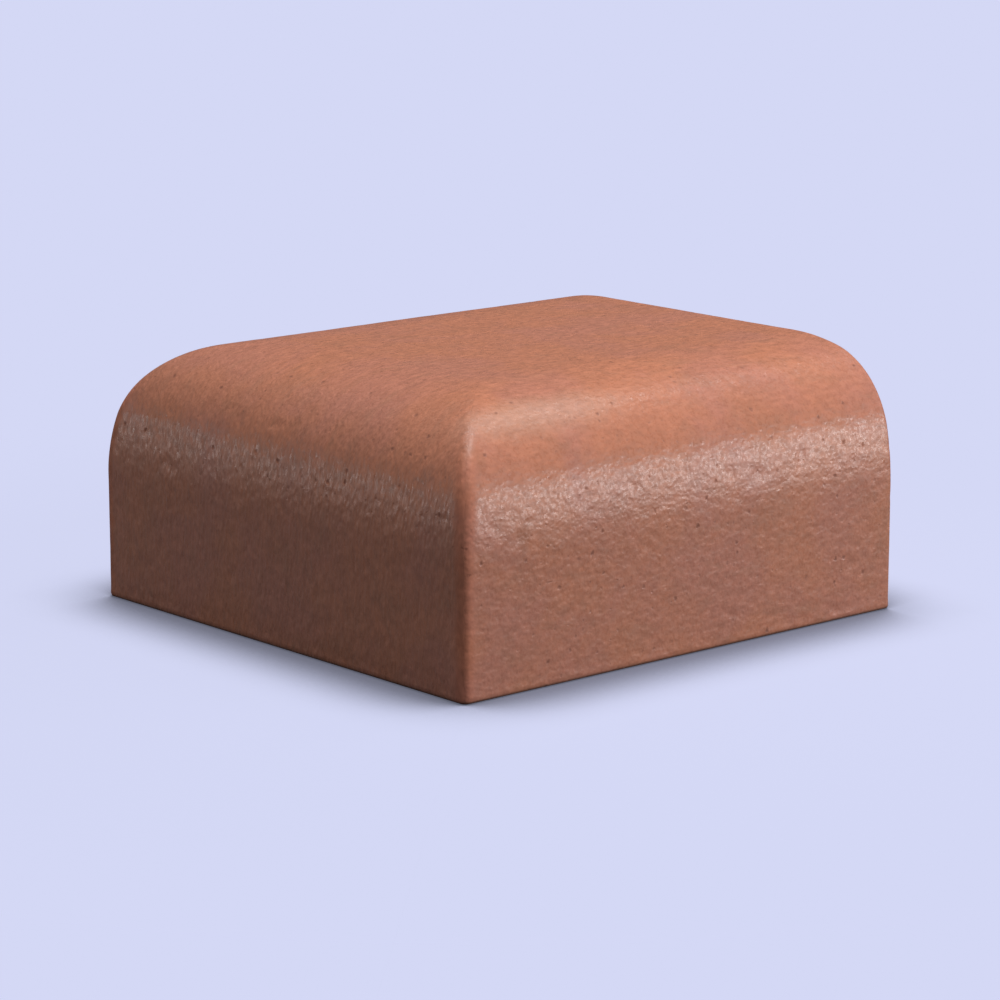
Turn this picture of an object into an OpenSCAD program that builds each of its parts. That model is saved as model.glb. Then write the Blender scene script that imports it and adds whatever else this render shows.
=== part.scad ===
// Bullnose capping end brick: one fired clay block, rounded along its two long top edges and
// across its free end, with a square joint face that butts against the next brick.
// +Z is up, the bed lies on Z = 0, and the origin is the centre of the bed.
// The joint face looks along +X, and the rounded end along -X.

/* [Block] */
// Length from the rounded end to the joint face
block_length = 215; // [160:1:330]
// Width across the two rounded sides
block_width = 215; // [160:1:330]
// Height from the bed to the crown
block_height = 102.5; // [85:0.5:150]

/* [Bullnose] */
// Radius of the main arc of the bullnose
nose_radius = 38; // [20:1:55]
// Radius of the flatter arcs that lead into and out of the main arc
ease_radius = 100; // [60:5:160]
// Angle that each flatter arc turns through
ease_angle = 13; // [6:0.5:20]

/* [Arrises] */
// Radius of the upright corners at the rounded end, and of the mitres above them
end_arris = 3.5; // [1.5:0.5:10]
// Radius of the corners around the joint face
joint_arris = 1; // [0.5:0.25:5]
// Radius of the corner around the bed
bed_arris = 1.5; // [0.5:0.25:5]

/* [Hidden] */
$fn = 96;

// Direction that turns from straight out of a face, at 0, to straight up, at 90
function heading(angle) = [-cos(angle), sin(angle)];

// A bullnose turns a quarter circle in three arcs that meet on common tangents:
// an easing arc, the main arc, and the same easing arc again, which ends flush with the crown.
nose_reach = ease_radius * (1 - cos(ease_angle) + sin(ease_angle))
    + nose_radius * (cos(ease_angle) - sin(ease_angle));
spring_height = block_height - nose_reach;

// Centres of the three arcs, measured inwards and upwards from the foot of a rounded face
low_ease_centre = [ease_radius, spring_height];
main_centre = low_ease_centre + (ease_radius - nose_radius) * heading(ease_angle);
high_ease_centre = [nose_reach, block_height - ease_radius];

// How far an easing arc's filling reaches past its rim before it is trimmed to the rim
rim_margin = 5;

// How far the main arc laps over the easing arcs, so that they join without a step
arc_lap = 0.002;

// Flats that round each mitre, how far they stand off the upright corner below it, and how far
// they are raised so that they run out through the crown at a slight angle
mitre_flats = 3;
flat_clearance = 0.02;
flat_lift = 0.05;

// How far the sections of the flats reach down past the bed
bed_margin = 5;

// Easing arc that starts at a heading, filled inwards as deep as the main arc's radius
module easing(centre, from) {
    to = from + ease_angle;
    inner = ease_radius - nose_radius;
    outer = ease_radius + rim_margin;
    intersection() {
        translate(centre)
            circle(r = ease_radius);
        polygon([
            centre + inner * heading(from),
            centre + outer * heading(from),
            centre + outer * heading(to),
            centre + inner * heading(to)
        ]);
    }
}

// Round of one top edge, for a face whose foot is at the drawing's origin
module bullnose() {
    translate(main_centre)
        circle(r = nose_radius + arc_lap);
    easing(low_ease_centre, 0);
    easing(high_ease_centre, 90 - ease_angle);
}

// Disc that fills the corner of a section, which is cut back to its tangent points
module corner_disc(across, up, radius) {
    translate([across, up])
        circle(r = radius);
}

// Section across the block, with a bullnose on both sides
module side_section() {
    polygon([
        [bed_arris, 0],
        [block_width - bed_arris, 0],
        [block_width, bed_arris],
        [block_width, spring_height],
        [block_width - nose_reach, block_height],
        [nose_reach, block_height],
        [0, spring_height],
        [0, bed_arris]
    ]);
    bullnose();
    translate([block_width, 0])
        mirror([1, 0])
            bullnose();
    corner_disc(bed_arris, bed_arris, bed_arris);
    corner_disc(block_width - bed_arris, bed_arris, bed_arris);
}

// Section along the block, with a bullnose at the free end and a square joint end
module length_section() {
    polygon([
        [bed_arris, 0],
        [block_length - bed_arris, 0],
        [block_length, bed_arris],
        [block_length, block_height - joint_arris],
        [block_length - joint_arris, block_height],
        [nose_reach, block_height],
        [0, spring_height],
        [0, bed_arris]
    ]);
    bullnose();
    corner_disc(bed_arris, bed_arris, bed_arris);
    corner_disc(block_length - bed_arris, bed_arris, bed_arris);
    corner_disc(block_length - joint_arris, block_height - joint_arris, joint_arris);
}

// Outline of the block in plan, with its four round corners
module plan_outline() {
    polygon([
        [end_arris, 0],
        [block_length - joint_arris, 0],
        [block_length, joint_arris],
        [block_length, block_width - joint_arris],
        [block_length - joint_arris, block_width],
        [end_arris, block_width],
        [0, block_width - end_arris],
        [0, end_arris]
    ]);
    corner_disc(end_arris, end_arris, end_arris);
    corner_disc(end_arris, block_width - end_arris, end_arris);
    corner_disc(block_length - joint_arris, joint_arris, joint_arris);
    corner_disc(block_length - joint_arris, block_width - joint_arris, joint_arris);
}

// Section of one rounded edge, seen along the edge and long enough to reach right over the block
module edge_section() {
    polygon([
        [0, -bed_margin],
        [block_length + block_width, -bed_margin],
        [block_length + block_width, block_height],
        [nose_reach, block_height],
        [0, spring_height]
    ]);
    bullnose();
}

// Narrow flat that climbs the mitre at the corner of the drawing and faces out at an angle in plan.
// It touches a rounding of the mitre with the radius of the upright corner. Seen along the flat,
// the section of the edges is wider, by the slant at which the flat cuts across both of them.
module mitre_flat(angle) {
    slant = cos(angle) + sin(angle);
    rotate([0, 0, angle])
        translate([end_arris * (slant - 1) - flat_clearance, 0, 0])
            rotate([90, 0, 0])
                linear_extrude(height = 2 * (block_length + block_width), center = true)
                    translate([0, flat_lift])
                        scale([slant, 1])
                            edge_section();
}

// Flats side by side, which round one mitre off from its foot until it fades into the crown
module rounded_mitre() {
    intersection_for(flat = [1:mitre_flats])
        mitre_flat(90 * flat / (mitre_flats + 1));
}

// The two sections run right through the block and meet in mitres at the rounded end's corners
module brick() {
    color([0.76, 0.47, 0.38])
        translate([-block_length / 2, -block_width / 2, 0])
            intersection() {
                linear_extrude(height = block_height)
                    plan_outline();
                translate([0, block_width, 0])
                    rotate([90, 0, 0])
                        linear_extrude(height = block_width)
                            length_section();
                rotate([90, 0, 90])
                    linear_extrude(height = block_length)
                        side_section();
                rounded_mitre();
                translate([0, block_width, 0])
                    mirror([0, 1, 0])
                        rounded_mitre();
            }
}

brick();
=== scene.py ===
"""Studio view of a bullnose capping end brick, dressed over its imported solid. Metres, +Z up."""

from __future__ import annotations

import logging
import math
from dataclasses import dataclass, field

import bmesh
import bpy
from mathutils import Matrix, Vector, noise

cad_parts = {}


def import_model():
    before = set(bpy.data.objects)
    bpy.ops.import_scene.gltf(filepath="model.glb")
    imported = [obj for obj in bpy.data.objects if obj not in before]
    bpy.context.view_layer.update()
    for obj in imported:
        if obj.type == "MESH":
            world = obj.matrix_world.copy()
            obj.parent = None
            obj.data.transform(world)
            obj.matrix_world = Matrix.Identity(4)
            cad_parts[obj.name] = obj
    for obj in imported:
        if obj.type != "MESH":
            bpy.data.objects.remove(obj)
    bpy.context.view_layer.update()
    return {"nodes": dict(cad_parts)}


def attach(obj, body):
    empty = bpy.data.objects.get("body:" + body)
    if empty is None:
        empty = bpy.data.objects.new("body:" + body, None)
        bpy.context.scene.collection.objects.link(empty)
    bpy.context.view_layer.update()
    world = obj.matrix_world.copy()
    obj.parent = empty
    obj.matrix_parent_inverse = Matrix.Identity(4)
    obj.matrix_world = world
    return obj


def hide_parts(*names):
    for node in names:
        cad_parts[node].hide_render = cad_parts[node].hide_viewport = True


LOG = logging.getLogger("bullnose_brick")

Colour = tuple[float, float, float]
Place = tuple[float, float, float]
Socket = bpy.types.NodeSocket

MILLIMETRES = 1000.0
SAME_PLACE = 1e-9
BED_SIDE = -0.9999


class ShaderSheet:
    """Node tree of one material, with short calls that add nodes and join them."""

    def __init__(self, name: str) -> None:
        """Starts an empty material.

        Args:
            name: name of the material.
        """
        self.material = bpy.data.materials.new(name)
        self.material.use_nodes = True
        self.tree = self.material.node_tree
        self.tree.nodes.clear()

    @classmethod
    def on_world(cls, world: bpy.types.World) -> ShaderSheet:
        """Starts an empty sheet on a world.

        Args:
            world: the world to light.

        Returns:
            The sheet.
        """
        sheet = cls.__new__(cls)
        world.use_nodes = True
        sheet.tree = world.node_tree
        sheet.tree.nodes.clear()
        return sheet

    def add(self, kind: str, inputs: dict | None = None, **settings: object) -> bpy.types.Node:
        """Adds a node, sets it up and fills its sockets.

        Args:
            kind: the node's type, without the word ShaderNode.
            inputs: socket name or number, with a value or the output socket to join to it.
            **settings: attributes of the node.

        Returns:
            The new node.
        """
        node = self.tree.nodes.new("ShaderNode" + kind)
        for name, value in settings.items():
            setattr(node, name, value)
        for name, value in (inputs or {}).items():
            if isinstance(value, Socket):
                self.tree.links.new(value, node.inputs[name])
            else:
                node.inputs[name].default_value = value
        return node

    def math(self, operation: str, a: object, b: object = 0.0, clamp: bool = False) -> Socket:
        """Adds a Math node.

        Args:
            operation: what it does.
            a: first number or socket.
            b: second number or socket.
            clamp: whether the result is held between 0 and 1.

        Returns:
            Its value socket.
        """
        node = self.add("Math", {0: a, 1: b}, operation=operation, use_clamp=clamp)
        return node.outputs[0]

    def axes(self, vector: Socket) -> tuple[Socket, ...]:
        """Splits coordinates.

        Args:
            vector: the coordinates.

        Returns:
            Their sockets along X, Y and Z.
        """
        return tuple(self.add("SeparateXYZ", {0: vector}).outputs)

    def grey(self, value: Socket) -> Socket:
        """Makes a grey of a number.

        Args:
            value: the number.

        Returns:
            The colour socket.
        """
        return self.add("CombineColor", {0: value, 1: value, 2: value}).outputs[0]

    def noise(
        self,
        vector: Socket,
        size: float,
        detail: float = 3.0,
        roughness: float = 0.55,
        distortion: float = 0.0,
    ) -> Socket:
        """Adds a noise whose marks have a real size.

        Args:
            vector: coordinates in metres.
            size: width of one mark, in millimetres.
            detail: finer layers.
            roughness: strength of the finer layers.
            distortion: how far the marks are pushed about.

        Returns:
            Its value, around one half.
        """
        node = self.add(
            "TexNoise",
            {
                "Vector": vector,
                "Scale": MILLIMETRES / size,
                "Detail": detail,
                "Roughness": roughness,
                "Distortion": distortion,
            },
        )
        return node.outputs["Fac"]

    def span(
        self, value: Socket, low: float, high: float, to_low: float = 0.0, to_high: float = 1.0
    ) -> Socket:
        """Maps a range smoothly onto another.

        Args:
            value: the number.
            low: value that gives to_low.
            high: value that gives to_high.
            to_low: result at or below low.
            to_high: result at or above high.

        Returns:
            The mapped number.
        """
        node = self.add(
            "MapRange",
            {"Value": value, "From Min": low, "From Max": high, "To Min": to_low, "To Max": to_high},
            interpolation_type="SMOOTHSTEP",
        )
        return node.outputs[0]

    def blend(self, factor: object, a: object, b: object, kind: str = "MIX") -> Socket:
        """Mixes two colours.

        Args:
            factor: share of the second colour.
            a: first colour or socket.
            b: second colour or socket.
            kind: how they are mixed.

        Returns:
            The mixed colour.
        """
        node = self.add("Mix", data_type="RGBA", blend_type=kind)
        sockets = (node.inputs[0], node.inputs[6], node.inputs[7])
        for socket, value in zip(sockets, (factor, a, b), strict=True):
            if isinstance(value, Socket):
                self.tree.links.new(value, socket)
            elif isinstance(value, tuple):
                socket.default_value = (*value, 1.0)
            else:
                socket.default_value = value
        return node.outputs[2]

    def finish(self, shader: Socket) -> bpy.types.Material:
        """Joins the shader to the output.

        Args:
            shader: the surface shader's socket.

        Returns:
            The finished material.
        """
        self.add("OutputMaterial", {"Surface": shader})
        return self.material


@dataclass(frozen=True)
class FiredClay:
    """Semi-matte fired clay: salmon orange with browner clouds, dragged grain, pits and scratches, with
    painted shade in the pits, scratches and foot, a painted highlight beside one mitre and a painted light
    tint on the crown.
    """

    name: str = "fired_clay"
    salmon: Colour = (0.522, 0.208, 0.127)
    rose: Colour = (0.496, 0.203, 0.141)
    # Painted highlight: pale sheen colour, with its strength, middle and reach below.
    painted_highlight_colour: Colour = (0.530, 0.298, 0.215)
    umber: Colour = (0.385, 0.168, 0.106)
    ash: Colour = (0.430, 0.196, 0.128)
    # Painted shade: dark colour laid into the pits and scratches.
    pit_shade_colour: Colour = (0.190, 0.070, 0.046)
    # Painted shade: dark colour along the foot of the sides.
    foot_shade_colour: Colour = (0.050, 0.034, 0.024)
    roughness: float = 0.34
    rough_swing: float = 0.09
    speck_polish: float = 0.13
    gloss_level: float = 0.28
    # Painted light: warmer, less blue tint of the crown.
    crown_light_tint: Colour = (1.03, 0.99, 0.92)
    ridge_warmth: Colour = (1.08, 0.92, 0.84)
    crown_height: float = 0.1025
    crown_fade: float = 0.010
    umber_share: float = 0.55
    ash_share: float = 0.50
    painted_highlight_share: float = 0.50
    painted_highlight_middle: Place = (-0.055, -0.0885, 0.0945)
    painted_highlight_reach: Place = (0.048, 0.012, 0.012)
    pit_shade_share: float = 0.72
    small_pit_share: float = 0.50
    scratch_share: float = 0.5
    ridge_tint_share: float = 0.5
    foot_shade_share: float = 0.85
    spot_fade: float = 0.6
    spot_core: float = 0.1
    spot_rim: float = 1.3
    nudge_rate: float = 600.0
    nudge: float = 0.0012
    end_polish: float = 0.04
    dullness: float = 0.40
    lump_height: float = 0.38
    grain_height: float = 0.14
    end_grain_height: float = 0.20
    pit_depth: float = 0.20
    bump_distance: float = 0.0007

    def material(self) -> bpy.types.Material:
        """Builds the material.

        Returns:
            The clay's material, on object coordinates.
        """
        sheet = ShaderSheet(self.name)
        place = sheet.add("TexCoord").outputs["Object"]
        pits = self._pits(sheet, place)
        colour = self._colour(sheet, place, pits)
        rough = self._roughness(sheet, place, pits)
        bump = self._bump(sheet, place, pits)
        shader = sheet.add(
            "BsdfPrincipled",
            {
                "Base Color": colour,
                "Roughness": rough,
                "Specular IOR Level": self.gloss_level,
                "Normal": bump,
            },
        )
        return sheet.finish(shader.outputs[0])

    def _at_end(self, sheet: ShaderSheet, place: Socket) -> Socket:
        """Marks the free end, as far as its mitres.

        Args:
            sheet: the node tree.
            place: object coordinates.

        Returns:
            1 on the free end and 0 elsewhere.
        """
        x, y, _ = sheet.axes(place)
        aside = sheet.math("ABSOLUTE", y)
        return sheet.math("GREATER_THAN", sheet.math("MULTIPLY", x, -1.0), aside)

    def _dragged(self, sheet: ShaderSheet, place: Socket, along: float, down: float) -> Socket:
        """Stretches coordinates the way the clay was dragged: along the brick, and down the free end.

        Args:
            sheet: the node tree.
            place: object coordinates.
            along: how many times longer marks are along the brick than across it.
            down: the same for marks that run down the free end.

        Returns:
            The stretched coordinates.
        """
        x, y, z = sheet.axes(place)
        at_end = self._at_end(sheet, place)
        depth = sheet.math("SUBTRACT", z, self.crown_height)
        squeeze = sheet.math("SUBTRACT", 1.0, sheet.math("MULTIPLY", at_end, 1.0 - 1.0 / down))
        length = sheet.math("DIVIDE", x, along)
        squeezed = sheet.math("MULTIPLY", depth, squeeze)
        return sheet.add("CombineXYZ", {0: length, 1: y, 2: squeezed}).outputs[0]

    def _spots(self, sheet: ShaderSheet, place: Socket, cell: float, radius: float, share: float) -> Socket:
        """Scatters round marks, some of them fainter.

        Args:
            sheet: the node tree.
            place: coordinates in metres.
            cell: spacing, in millimetres.
            radius: radius of a mark, in millimetres.
            share: share of the cells that hold one.

        Returns:
            1 in the middle of a mark and 0 away from it.
        """
        scale = MILLIMETRES / cell
        cells = sheet.add("TexVoronoi", {"Vector": place, "Scale": scale, "Randomness": 1.0})
        pick = sheet.add("SeparateColor", {0: cells.outputs["Color"]})
        chosen = sheet.span(pick.outputs[0], low=1.0 - share, high=1.0 - share * self.spot_fade)
        core, rim = radius * self.spot_core / cell, radius * self.spot_rim / cell
        bowl = sheet.span(cells.outputs["Distance"], low=core, high=rim, to_low=1.0, to_high=0.0)
        return sheet.math("MULTIPLY", chosen, bowl)

    def _nudged(self, sheet: ShaderSheet, place: Socket) -> Socket:
        """Pushes coordinates about, so that round marks get uneven rims.

        Args:
            sheet: the node tree.
            place: coordinates in metres.

        Returns:
            The pushed coordinates.
        """
        wobble = sheet.add("TexNoise", {"Vector": place, "Scale": self.nudge_rate, "Detail": 1.0})
        push = {0: wobble.outputs["Color"], 1: (self.nudge,) * 3}
        nudge = sheet.add("VectorMath", push, operation="MULTIPLY")
        return sheet.add("VectorMath", {0: place, 1: nudge.outputs[0]}, operation="ADD").outputs[0]

    def _pits(self, sheet: ShaderSheet, place: Socket) -> Socket:
        """Marks small pits, scattered unevenly, and a few short scratches along the drag.

        Args:
            sheet: the node tree.
            place: object coordinates.

        Returns:
            1 in the middle of a pit and 0 away from it.
        """
        moved = self._nudged(sheet, place)
        large = self._spots(sheet, moved, cell=5.2, radius=0.95, share=0.32)
        small = self._spots(sheet, moved, cell=3.4, radius=0.62, share=0.34)
        small = sheet.math("MULTIPLY", small, self.small_pit_share)
        dragged = self._dragged(sheet, place, along=7.0, down=7.0)
        scratch = self._spots(sheet, dragged, cell=4.6, radius=0.40, share=0.12)
        scratch = sheet.math("MULTIPLY", scratch, self.scratch_share)
        return sheet.math("MAXIMUM", sheet.math("MAXIMUM", large, small), scratch)

    def _colour(self, sheet: ShaderSheet, place: Socket, pits: Socket) -> Socket:
        """Builds the colour.

        Args:
            sheet: the node tree.
            place: object coordinates.
            pits: pit mask.

        Returns:
            The colour socket.
        """
        colour = self._mottled(sheet, place)
        # Painted highlight: a pale sheen blended into the colour beside one mitre.
        colour = sheet.blend(self._painted_highlight(sheet, place), colour, self.painted_highlight_colour)
        dragged = self._dragged(sheet, place, along=3.2, down=3.2)
        drag = sheet.noise(dragged, size=6.0, detail=4.0, roughness=0.6, distortion=0.3)
        ashen = sheet.span(drag, low=0.50, high=0.76, to_low=0.0, to_high=self.ash_share)
        colour = sheet.blend(ashen, colour, self.ash)
        dragged = self._dragged(sheet, place, along=1.6, down=2.2)
        grain = sheet.noise(dragged, size=2.2, detail=1.5, roughness=0.5)
        grain = sheet.span(grain, low=0.28, high=0.72, to_low=0.92, to_high=1.07)
        colour = sheet.blend(1.0, colour, sheet.grey(grain), "MULTIPLY")
        # Painted shade: pits and scratches darkened in colour, on top of their real bump.
        colour = sheet.blend(sheet.math("MULTIPLY", pits, self.pit_shade_share), colour, self.pit_shade_colour)
        height = sheet.axes(place)[2]
        top = sheet.span(height, low=self.crown_height - self.crown_fade, high=self.crown_height)
        # Painted light: the top is tinted warmer for how light falls on the crown; its streaks are real
        # grain.
        colour = sheet.blend(top, colour, self._streaked_with_light_tint(sheet, place, colour))
        # Tints the upright ridges of the free end redder, below the mitres.
        ridge_tint = sheet.math("MULTIPLY", self._ridge_strip(sheet, place), self.ridge_tint_share)
        colour = sheet.blend(ridge_tint, colour, sheet.blend(1.0, colour, self.ridge_warmth, "MULTIPLY"))
        # Painted shade: a dark line along the foot of the sides, where the brick meets the floor.
        foot = sheet.span(height, low=0.0003, high=0.0016, to_low=self.foot_shade_share, to_high=0.0)
        return sheet.blend(sheet.math("MULTIPLY", foot, self._rim(sheet, place)), colour, self.foot_shade_colour)

    def _mottled(self, sheet: ShaderSheet, place: Socket) -> Socket:
        """Builds the broad clouds of salmon, rose and brown.

        Args:
            sheet: the node tree.
            place: object coordinates.

        Returns:
            The colour socket.
        """
        clouds = sheet.noise(place, size=38.0, detail=3.0, roughness=0.55, distortion=0.4)
        colour = sheet.blend(sheet.span(clouds, low=0.38, high=0.64), self.salmon, self.rose)
        brown = sheet.noise(place, size=22.0, detail=4.0, roughness=0.6, distortion=0.8)
        brown = sheet.span(brown, low=0.50, high=0.80)
        return sheet.blend(sheet.math("MULTIPLY", brown, self.umber_share), colour, self.umber)

    def _streaked_with_light_tint(self, sheet: ShaderSheet, place: Socket, colour: Socket) -> Socket:
        """Gives a colour a warmer, less blue tint of painted light, and streaks it along the drag, as on the
        crown.

        Args:
            sheet: the node tree.
            place: object coordinates.
            colour: the colour to start from.

        Returns:
            The colour socket.
        """
        dragged = self._dragged(sheet, place, along=3.0, down=3.0)
        streaks = sheet.noise(dragged, size=2.4, detail=2.0, roughness=0.6)
        streaks = sheet.span(streaks, low=0.30, high=0.70, to_low=0.91, to_high=1.07)
        light_tinted = sheet.blend(1.0, colour, self.crown_light_tint, "MULTIPLY")
        return sheet.blend(1.0, light_tinted, sheet.grey(streaks), "MULTIPLY")

    def _rim(self, sheet: ShaderSheet, place: Socket) -> Socket:
        """Marks the outer rim of the block, so that the painted shade at the foot stays off the bed.

        Args:
            sheet: the node tree.
            place: object coordinates.

        Returns:
            1 at the sides and 0 inside them.
        """
        x, y, _ = sheet.axes(place)
        out = sheet.math("MAXIMUM", sheet.math("ABSOLUTE", x), sheet.math("ABSOLUTE", y))
        return sheet.span(out, low=0.1045, high=0.1060)

    def _ridge_strip(self, sheet: ShaderSheet, place: Socket) -> Socket:
        """Marks the upright corners of the free end and the lower part of their mitres.

        Args:
            sheet: the node tree.
            place: object coordinates.

        Returns:
            1 on the ridges and 0 away from them.
        """
        x, y, z = sheet.axes(place)
        apart = sheet.math("SUBTRACT", sheet.math("ABSOLUTE", y), sheet.math("MULTIPLY", x, -1.0))
        apart = sheet.math("ABSOLUTE", apart)
        strip = sheet.span(apart, low=0.0030, high=0.0070, to_low=1.0, to_high=0.0)
        below = sheet.span(z, low=0.080, high=0.090, to_low=1.0, to_high=0.0)
        return sheet.math("MULTIPLY", strip, below)

    def _painted_highlight(self, sheet: ShaderSheet, place: Socket) -> Socket:
        """Marks a painted highlight, a pale sheen beside one mitre, which runs along the bullnose.

        Args:
            sheet: the node tree.
            place: object coordinates.

        Returns:
            Its strength, strongest in the middle.
        """
        shrink = tuple(1 / reach for reach in self.painted_highlight_reach)
        offset = sheet.add("VectorMath", {0: place, 1: self.painted_highlight_middle}, operation="SUBTRACT").outputs[0]
        shrunk = sheet.add("VectorMath", {0: offset, 1: shrink}, operation="MULTIPLY").outputs[0]
        away = sheet.add("VectorMath", {0: shrunk}, operation="LENGTH").outputs["Value"]
        uneven = sheet.noise(place, size=14.0, detail=2.0, roughness=0.5)
        away = sheet.math("ADD", away, sheet.math("MULTIPLY", uneven, 0.5))
        return sheet.span(away, low=0.50, high=1.40, to_low=self.painted_highlight_share, to_high=0.0)

    def _roughness(self, sheet: ShaderSheet, place: Socket, pits: Socket) -> Socket:
        """Builds the roughness: a dull skin of fine grains, broken up by small polished specks.

        Args:
            sheet: the node tree.
            place: object coordinates.
            pits: pit mask.

        Returns:
            The roughness socket.
        """
        dragged = self._dragged(sheet, place, along=1.0, down=2.4)
        dullest, glossiest = self.roughness + self.rough_swing, self.roughness - self.rough_swing
        skin = sheet.noise(dragged, size=1.4, detail=1.5, roughness=0.6)
        skin = sheet.span(skin, low=0.34, high=0.66, to_low=dullest, to_high=glossiest)
        specks = self._spots(sheet, self._nudged(sheet, dragged), cell=1.9, radius=0.78, share=0.90)
        extra = sheet.math("MULTIPLY", self._at_end(sheet, place), self.end_polish)
        polish = sheet.math("ADD", self.speck_polish, extra)
        polished = sheet.math("SUBTRACT", skin, sheet.math("MULTIPLY", specks, polish))
        dull = sheet.math("MAXIMUM", pits, self._ridge_strip(sheet, place))
        return sheet.math("ADD", polished, sheet.math("MULTIPLY", dull, self.dullness), clamp=True)

    def _bump(self, sheet: ShaderSheet, place: Socket, pits: Socket) -> Socket:
        """Builds the relief that is too fine for the mesh.

        Args:
            sheet: the node tree.
            place: object coordinates.
            pits: pit mask.

        Returns:
            The normal socket.
        """
        dragged = self._dragged(sheet, place, along=1.4, down=1.4)
        lumps = sheet.noise(dragged, size=3.0, detail=1.0, roughness=0.5)
        lumps = sheet.math("MULTIPLY", lumps, self.lump_height)
        extra = sheet.math("MULTIPLY", self._at_end(sheet, place), self.end_grain_height)
        coarseness = sheet.math("ADD", self.grain_height, extra)
        dragged = self._dragged(sheet, place, along=1.0, down=3.0)
        grain = sheet.math("MULTIPLY", sheet.noise(dragged, size=1.2, detail=0.5, roughness=0.5), coarseness)
        height = sheet.math("ADD", lumps, grain)
        height = sheet.math("SUBTRACT", height, sheet.math("MULTIPLY", pits, self.pit_depth))
        bump = sheet.add("Bump", {"Strength": 1.0, "Distance": self.bump_distance, "Height": height})
        return bump.outputs[0]


@dataclass(frozen=True)
class SideLine:
    """Line up one rounded side of the brick: bed arris, upright, and the three arcs of the bullnose."""

    block_height: float = 0.1025
    bed_arris: float = 0.0015
    nose_radius: float = 0.038
    ease_radius: float = 0.100
    ease_angle: float = math.radians(13.0)

    @property
    def reach(self) -> float:
        """How far the bullnose reaches in over the top."""
        cosine, sine = math.cos(self.ease_angle), math.sin(self.ease_angle)
        return self.ease_radius * (1 - cosine + sine) + self.nose_radius * (cosine - sine)

    @property
    def runs(self) -> list[tuple[float, float]]:
        """Radius and turn of each arc from the bed up, or length and no turn where it is straight."""
        return [
            (self.bed_arris, math.pi / 2),
            (self.upright_length, 0.0),
            (self.ease_radius, self.ease_angle),
            (self.nose_radius, math.pi / 2 - 2 * self.ease_angle),
            (self.ease_radius, self.ease_angle),
        ]

    @property
    def foot_length(self) -> float:
        """Length of the bed arris."""
        return self.bed_arris * math.pi / 2

    @property
    def upright_length(self) -> float:
        """Length of the upright part."""
        return self.block_height - self.reach - self.bed_arris

    @property
    def nose_length(self) -> float:
        """Length of the bullnose along its curve."""
        return 2 * self.ease_radius * self.ease_angle + self.nose_radius * (math.pi / 2 - 2 * self.ease_angle)

    def at(self, distance: float) -> tuple[float, float, float]:
        """Finds a point of the line.

        Args:
            distance: distance along the line from the edge of the bed. Past the bullnose it runs on
                over the crown.

        Returns:
            Inset from the side's plane, height above the bed, and how far the surface leans back, in radians.
        """
        inset, height, lean = self.bed_arris, 0.0, -math.pi / 2
        left = distance
        for size, turn in self.runs:
            length = size * turn if turn else size
            part = min(left, length)
            if turn:
                bent = lean + part / size
                inset -= size * (math.cos(bent) - math.cos(lean))
                height += size * (math.sin(bent) - math.sin(lean))
                lean = bent
            else:
                inset += part * math.sin(lean)
                height += part * math.cos(lean)
            left -= part
            if left <= 0:
                return inset, height, lean
        return inset + left, height, lean


@dataclass(frozen=True)
class ClayRelief:
    """Shallow relief of a pressed clay face, all of it below the true surface."""

    sway: float = 0.00022
    lumps: float = 0.00012
    dents: float = 0.00030
    sway_rate: float = 17.0
    lump_rate: float = 110.0
    fine_rate: float = 260.0
    dent_rate: float = 150.0
    lump_share: float = 0.65
    dent_floor: float = 0.38
    dent_span: float = 0.4
    dent_curve: float = 1.5

    def depth(self, place: Vector) -> float:
        """Finds how far the surface lies below its true place.

        Args:
            place: a point of the surface.

        Returns:
            The depth in metres, never under 0.
        """
        sway = self._wave(place, self.sway_rate, (3.1, 7.7, 1.3))
        lumps = self._wave(place, self.lump_rate, (9.2, 0.4, 5.5))
        fine = self._wave(place, self.fine_rate, (0.0, 0.0, 0.0))
        bumpy = self.lump_share * lumps + (1.0 - self.lump_share) * fine
        dents = noise.noise(place * self.dent_rate + Vector((1.7, 4.4, 8.8))) - self.dent_floor
        dents = min(1.0, max(0.0, dents) / self.dent_span) ** self.dent_curve
        return self.sway * sway + self.lumps * bumpy + self.dents * dents

    @staticmethod
    def _wave(place: Vector, rate: float, offset: Place) -> float:
        """Finds one layer of the relief.

        Args:
            place: a point of the surface.
            rate: how many waves there are to a metre.
            offset: where in the noise the layer starts.

        Returns:
            Its height, from 0 to 1.
        """
        return 0.5 + 0.5 * noise.noise(place * rate + Vector(offset))


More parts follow.
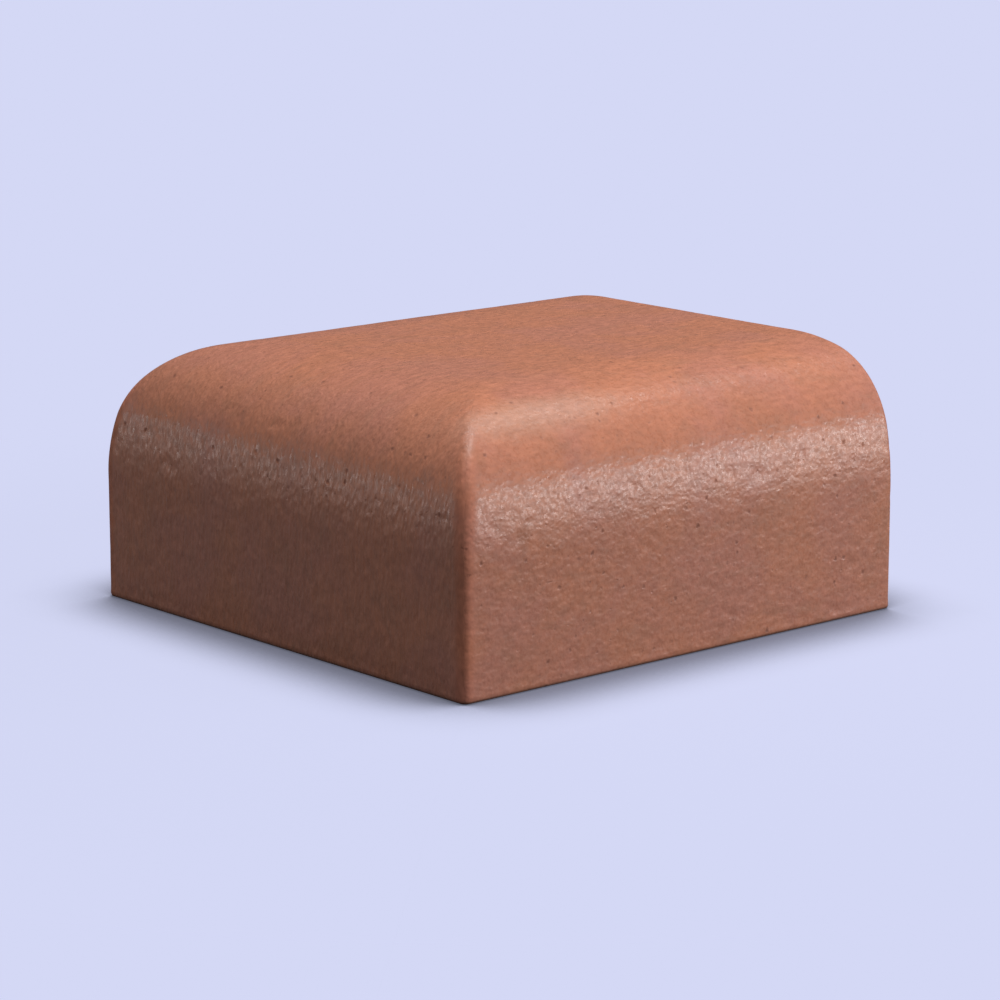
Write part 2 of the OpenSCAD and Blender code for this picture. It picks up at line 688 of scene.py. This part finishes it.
@dataclass
class BrickBody:
    """The whole brick: a fine shell of the fired block, with its mitred bullnose and its relief."""

    length: float = 0.215
    width: float = 0.215
    end_arris: float = 0.0035
    joint_arris: float = 0.001
    pitch: float = 0.00115
    arris_cells: int = 2
    clean_arrises: int = 3
    line: SideLine = field(default_factory=SideLine)
    relief: ClayRelief = field(default_factory=ClayRelief)
    clay: FiredClay = field(default_factory=FiredClay)

    def __post_init__(self) -> None:
        """Lays out the stations of the grid along, across and up the brick."""
        half = self.line.nose_length / 2
        foot, upright = self.line.foot_length, self.line.upright_length
        self.middle = foot + upright + half
        self.nose_cells = round(half / self.pitch)
        up = self._even(0.0, foot, self.arris_cells)
        up += self._even(up[-1], up[-1] + upright, round(upright / self.pitch))[1:]
        up += self._even(up[-1], self.middle, self.nose_cells)[1:]
        self.up = up
        over = self._even(self.middle, self.middle + half, self.nose_cells)
        run = self.length - self.line.reach - self.joint_arris
        self.along = over + self._even(over[-1], over[-1] + run, round(run / self.pitch))[1:]
        self.along += [self.along[-1]] * self.arris_cells
        run = self.width / 2 - self.line.reach
        near = over + self._even(over[-1], over[-1] + run, round(run / self.pitch))[1:]
        self.across = near + near[-2::-1]
        self.crown = over[-1]

    @staticmethod
    def _even(start: float, end: float, cells: int) -> list[float]:
        """Spaces stations evenly.

        Args:
            start: first station.
            end: last station.
            cells: number of gaps between them.

        Returns:
            The stations, both ends included.
        """
        return [start + (end - start) * i / cells for i in range(cells + 1)]

    def build(self) -> bpy.types.Object:
        """Builds the brick's mesh and dresses it.

        Returns:
            The finished piece, in place.
        """
        mesh_data = bmesh.new()
        self._grid_block(mesh_data)
        self._open_bed(mesh_data)
        ridges = self._shape(mesh_data)
        for start, end in ridges:
            bmesh.ops.connect_verts(mesh_data, verts=[start, end])
        bmesh.ops.recalc_face_normals(mesh_data, faces=mesh_data.faces)
        self._press(mesh_data)
        for face in mesh_data.faces:
            face.smooth = True
        mesh = bpy.data.meshes.new("bullnose_brick")
        mesh_data.to_mesh(mesh)
        mesh_data.free()
        piece = bpy.data.objects.new("bullnose_brick", mesh)
        bpy.context.scene.collection.objects.link(piece)
        mesh.materials.append(self.clay.material())
        return piece

    def _grid_block(self, mesh_data: bmesh.types.BMesh) -> None:
        """Makes a cube whose sides are cut into the grid's cells.

        Args:
            mesh_data: empty mesh to fill.
        """
        bmesh.ops.create_cube(mesh_data, size=2.0)
        counts = (len(self.along) - 1, len(self.across) - 1, len(self.up) - 1)
        for axis, cells in enumerate(counts):
            edges = [
                e for e in mesh_data.edges if abs(e.verts[0].co[axis] - e.verts[1].co[axis]) > 1.0
            ]
            bmesh.ops.subdivide_edges(mesh_data, edges=edges, cuts=cells - 1, use_grid_fill=True)

    def _open_bed(self, mesh_data: bmesh.types.BMesh) -> None:
        """Joins the flat of the bed into one face.

        Args:
            mesh_data: the gridded cube.
        """
        last = 1.0 - 2.0 * self.arris_cells / (len(self.along) - 1)
        faces = [
            f
            for f in mesh_data.faces
            if f.calc_center_median().z < BED_SIDE and f.calc_center_median().x < last
        ]
        bmesh.ops.dissolve_faces(mesh_data, faces=faces, use_verts=True)

    def _shape(self, mesh_data: bmesh.types.BMesh) -> list[tuple[bmesh.types.BMVert, bmesh.types.BMVert]]:
        """Moves every point of the cube to its place on the brick.

        Args:
            mesh_data: the gridded cube.

        Returns:
            Pairs of points that the mitre ridges join across the cells of the top.
        """
        last = (len(self.along) - 1, len(self.across) - 1, len(self.up) - 1)
        corners = {}
        places = {}
        for vert in mesh_data.verts:
            i, j, k = (round((vert.co[a] + 1.0) / 2.0 * last[a]) for a in range(3))
            places[vert] = self._face_place(i, j, k, last)
            if k == last[2] and i <= self.nose_cells and (j == i or j == last[1] - i):
                corners[(i, j > last[1] / 2)] = vert
        shift = Vector((-self.length / 2, -self.width / 2, 0.0))
        for vert, place in places.items():
            vert.co = place + shift
        pairs = []
        for (i, far), vert in corners.items():
            following = corners.get((i + 1, far))
            if following is not None:
                pairs.append((vert, following))
        return pairs

    def _face_place(self, i: int, j: int, k: int, last: tuple[int, int, int]) -> Vector:
        """Finds the place of one grid point, with the joint face filled in from its outline.

        Args:
            i: station along the brick.
            j: station across it.
            k: station up its side.
            last: the last station each way.

        Returns:
            The place, measured from the sharp corner of the bed.
        """
        if i < last[0] or j in (0, last[1]) or k in (0, last[2]):
            return self._ring_place(i, j, k, last)
        s, t = j / last[1], k / last[2]
        low, high = self._ring_place(i, j, 0, last), self._ring_place(i, j, last[2], last)
        left, right = self._ring_place(i, 0, k, last), self._ring_place(i, last[1], k, last)
        near_low, far_low = (self._ring_place(i, side, 0, last) for side in (0, last[1]))
        near_high, far_high = (self._ring_place(i, side, last[2], last) for side in (0, last[1]))
        ruled = low.lerp(high, t) + left.lerp(right, s)
        return ruled - near_low.lerp(near_high, t).lerp(far_low.lerp(far_high, t), s)

    def _ring_place(self, i: int, j: int, k: int, last: tuple[int, int, int]) -> Vector:
        """Finds the place of a grid point on the sides, the top or the bed.

        Args:
            i: station along the brick.
            j: station across it.
            k: station up its side.
            last: the last station each way.

        Returns:
            The place, measured from the sharp corner of the bed.
        """
        start_inset = self.line.at(self.middle)[0]
        flat_end = self.length - self.joint_arris
        x_top = self.line.at(self.along[i])[0]
        y_top = self.line.at(self.across[j])[0]
        far = j > last[1] / 2
        if k == last[2]:
            ring = min(self.along[i], self.across[j])
            inset, height, lean = self.line.at(ring)
            x, y = x_top, y_top
            edge = inset if ring < self.crown else self.line.reach
        else:
            inset, height, lean = self.line.at(self.up[k])
            edge = inset
            x = edge + (x_top - start_inset) * (flat_end - edge) / (flat_end - start_inset)
            y = edge + (y_top - start_inset) * (self.width / 2 - edge) / (self.width / 2 - start_inset)
        x, y = self._round_corner(x, y, edge, k)
        turn = max(0, i - (last[0] - self.arris_cells)) / self.arris_cells * math.pi / 2
        if turn:
            sink = self.joint_arris * (1 - math.cos(turn))
            x = flat_end + self.joint_arris * math.sin(turn)
            if j in (0, last[1]) or (k == last[2] and ring < self.crown):
                y += sink * math.cos(lean)
            height -= sink * math.sin(lean)
        return Vector((x, self.width - y if far else y, height))

    def _round_corner(self, x: float, y: float, edge: float, k: int) -> tuple[float, float]:
        """Rounds the upright corners of the free end, and the mitres above them.

        Args:
            x: place along the brick.
            y: place across it, from the nearer side.
            edge: inset of the ring that the point is on.
            k: station up the side.

        Returns:
            The rounded place along and across.
        """
        radius = self.end_arris - (edge if k < self.arris_cells else 0.0)
        s, t = x - edge, y - edge
        if max(s, t) >= radius or min(s, t) > SAME_PLACE:
            return x, y
        bend = (1 - max(s, t) / radius) * math.pi / 4
        inner, outer = radius * (1 - math.cos(bend)), radius * (1 - math.sin(bend))
        return (edge + inner, edge + outer) if s <= t else (edge + outer, edge + inner)

    def _press(self, mesh_data: bmesh.types.BMesh) -> None:
        """Sinks the surface by its relief, but not at the bed.

        Args:
            mesh_data: the shaped mesh.
        """
        mesh_data.normal_update()
        moves = {}
        for vert in mesh_data.verts:
            hold = min(1.0, vert.co.z / (self.clean_arrises * self.line.bed_arris))
            moves[vert] = vert.normal * (self.relief.depth(vert.co) * hold)
        for vert, move in moves.items():
            vert.co -= move


@dataclass(frozen=True)
class Backdrop:
    """Pale lavender floor and background, with the brick's soft shadow on the floor.

    The background is shown at its own colour, whatever the lamps do. Gloss sees it dimmed, because
    the matte clay shows next to nothing of it.
    """

    colour: Colour = (0.658, 0.686, 0.913)
    reach: float = 8.0
    near_reach: tuple[float, float] = (0.20, 0.40)
    lamp_share: float = 0.18
    lamp_level: float = 1.08
    shade_reach: float = 0.046
    shade_depth: float = 0.80
    bounce: Colour = (0.18, 0.18, 0.19)
    gloss_share: float = 0.05

    def build_floor(self) -> bpy.types.Object:
        """Lays the floor.

        Returns:
            The floor.
        """
        mesh_data = bmesh.new()
        bmesh.ops.create_grid(mesh_data, x_segments=1, y_segments=1, size=self.reach)
        mesh = bpy.data.meshes.new("studio_floor")
        mesh_data.to_mesh(mesh)
        mesh_data.free()
        floor = bpy.data.objects.new("studio_floor", mesh)
        bpy.context.scene.collection.objects.link(floor)
        mesh.materials.append(self._floor_material())
        return floor

    def _seen(self, sheet: ShaderSheet) -> Socket:
        """Tells how strongly a ray shows the background, from none for one that only lights the brick.

        Args:
            sheet: the node tree.

        Returns:
            The level, from 0 to 1.
        """
        path = sheet.add("LightPath").outputs
        clear = sheet.math("MAXIMUM", path["Is Camera Ray"], path["Is Transmission Ray"])
        return sheet.math("MAXIMUM", clear, sheet.math("MULTIPLY", path["Is Glossy Ray"], self.gloss_share))

    def _floor_material(self) -> bpy.types.Material:
        """Builds the floor's material.

        Returns:
            A material that shows the background's colour, shaded by the lamps and close to the brick.
        """
        sheet = ShaderSheet("studio_floor")
        place = sheet.add("TexCoord").outputs["Object"]
        away = sheet.add("VectorMath", {0: place}, operation="LENGTH").outputs["Value"]
        share = sheet.span(away, *self.near_reach, self.lamp_share, 0.0)
        near = sheet.add("AmbientOcclusion", {"Distance": self.shade_reach}, samples=16).outputs["AO"]
        shade = sheet.span(near, low=0.50, high=1.0, to_low=1.0 - self.shade_depth, to_high=1.0)
        own = sheet.math("MULTIPLY", shade, sheet.math("SUBTRACT", 1.0, share))
        shown = sheet.add("Emission", {"Color": (*self.colour, 1.0), "Strength": own}).outputs[0]
        tint = sheet.blend(sheet.math("DIVIDE", share, self.lamp_level), (0.0, 0.0, 0.0), self.colour)
        lamp_lit = sheet.add("BsdfDiffuse", {"Color": tint}).outputs[0]
        seen = sheet.add("AddShader", {0: shown, 1: lamp_lit}).outputs[0]
        bounce = sheet.add("BsdfDiffuse", {"Color": (*self.bounce, 1.0)}).outputs[0]
        mixed = sheet.add("MixShader", {0: self._seen(sheet), 1: bounce, 2: seen})
        return sheet.finish(mixed.outputs[0])

    def build_world(self, ambient: float) -> None:
        """Sets the world: the background's colour where it is seen, and a dim even light elsewhere.

        Args:
            ambient: level of the even light.
        """
        world = bpy.data.worlds.new("studio_world")
        bpy.context.scene.world = world
        sheet = ShaderSheet.on_world(world)
        dim = sheet.add("Background", {"Color": (1.0, 1.0, 1.0, 1.0), "Strength": ambient}).outputs[0]
        shown = sheet.add("Background", {"Color": (*self.colour, 1.0)}).outputs[0]
        mixed = sheet.add("MixShader", {0: self._seen(sheet), 1: dim, 2: shown}).outputs[0]
        sheet.add("OutputWorld", {"Surface": mixed})


@dataclass(frozen=True)
class SoftLamp:
    """Rectangular studio lamp that faces the brick."""

    name: str
    azimuth: float
    elevation: float
    distance: float
    width: float
    height: float
    power: float
    colour: Colour = (1.0, 1.0, 1.0)

    def build(self, aim: Vector) -> bpy.types.Object:
        """Places the lamp.

        Args:
            aim: point that it faces.

        Returns:
            The lamp.
        """
        light = bpy.data.lights.new(self.name, "AREA")
        light.shape = "RECTANGLE"
        light.size, light.size_y = self.width, self.height
        light.energy = self.power
        light.color = self.colour
        lamp = bpy.data.objects.new(self.name, light)
        bpy.context.scene.collection.objects.link(lamp)
        back = heading(self.azimuth, self.elevation)
        lamp.matrix_world = Matrix.Translation(aim + back * self.distance) @ facing(back)
        return lamp


@dataclass(frozen=True)
class Viewpoint:
    """Camera at the photograph's viewing angle."""

    azimuth: float = 229.014
    elevation: float = 12.192
    distance: float = 1.3795
    lens: float = 129.02
    aim: tuple[float, float, float] = (0.0, 0.0, 0.05125)
    sight: tuple[float, float] = (-4.704, -27.053)
    focal_pixels: float = 3584.0
    sensor_width: float = 36.0
    clip: tuple[float, float] = (0.01, 50.0)

    def build(self) -> bpy.types.Object:
        """Places the camera and makes it the scene's own.

        Returns:
            The camera.
        """
        data = bpy.data.cameras.new("camera")
        data.sensor_fit = "HORIZONTAL"
        data.sensor_width = self.sensor_width
        data.lens = self.lens
        data.clip_start, data.clip_end = self.clip
        camera = bpy.data.objects.new("camera", data)
        bpy.context.scene.collection.objects.link(camera)
        back = heading(self.azimuth, self.elevation)
        turn = facing(back)
        right, up = turn.col[0].to_3d(), turn.col[1].to_3d()
        across, down = (s * self.distance / self.focal_pixels for s in self.sight)
        place = Vector(self.aim) + back * self.distance - right * across + up * down
        camera.matrix_world = Matrix.Translation(place) @ turn
        bpy.context.scene.camera = camera
        return camera


def heading(azimuth: float, elevation: float) -> Vector:
    """Finds a direction.

    Args:
        azimuth: degrees from +X towards +Y.
        elevation: degrees up from level.

    Returns:
        The direction, one metre long.
    """
    a, e = math.radians(azimuth), math.radians(elevation)
    return Vector((math.cos(e) * math.cos(a), math.cos(e) * math.sin(a), math.sin(e)))


def facing(back: Vector) -> Matrix:
    """Finds the turn of a camera or lamp whose back points along a direction, with its top up.

    Args:
        back: the direction behind it.

    Returns:
        The turn.
    """
    right = Vector((0.0, 0.0, 1.0)).cross(back).normalized()
    up = back.cross(right)
    return Matrix((right, up, back)).transposed().to_4x4()


@dataclass
class Studio:
    """The set around the brick: floor, background, lamps and camera."""

    backdrop: Backdrop = field(default_factory=Backdrop)
    view: Viewpoint = field(default_factory=Viewpoint)
    ambient: float = 0.05
    lamps: tuple[SoftLamp, ...] = (
        SoftLamp("overhead_softbox", 0.0, 89.0, 1.6, 1.2, 1.2, 16.0),
        SoftLamp("right_softbox", 300.0, 72.0, 1.6, 1.0, 1.0, 8.5),
        SoftLamp("front_softbox", 255.0, 65.0, 1.6, 1.0, 1.0, 4.9),
        SoftLamp("right_strip", 312.0, 6.5, 1.5, 0.8, 0.4, 10.0),
        SoftLamp("left_strip", 130.0, 4.0, 1.5, 0.8, 0.25, 1.4),
        SoftLamp("back_lamp", 4.0, 54.0, 1.5, 0.3, 0.3, 1.2),
    )

    def build(self) -> None:
        """Builds the set."""
        self.backdrop.build_floor()
        self.backdrop.build_world(self.ambient)
        for lamp in self.lamps:
            lamp.build(Vector(self.view.aim))
            LOG.info("lamp %s", lamp.name)
        self.view.build()
        bpy.context.scene.view_settings.view_transform = "Standard"


def main() -> None:
    """Loads the frame, builds the brick and the studio, and logs the frame's nodes and the brick's face
    count.
    """
    logging.basicConfig(level=logging.INFO, format="%(name)s: %(message)s")
    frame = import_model()
    LOG.info("frame nodes: %s", ", ".join(sorted(frame["nodes"])))
    brick = BrickBody().build()
    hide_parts("brick")
    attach(brick, "root")
    LOG.info("%s: %d faces", brick.name, len(brick.data.polygons))
    Studio().build()


if __name__ == "__main__":
    main()
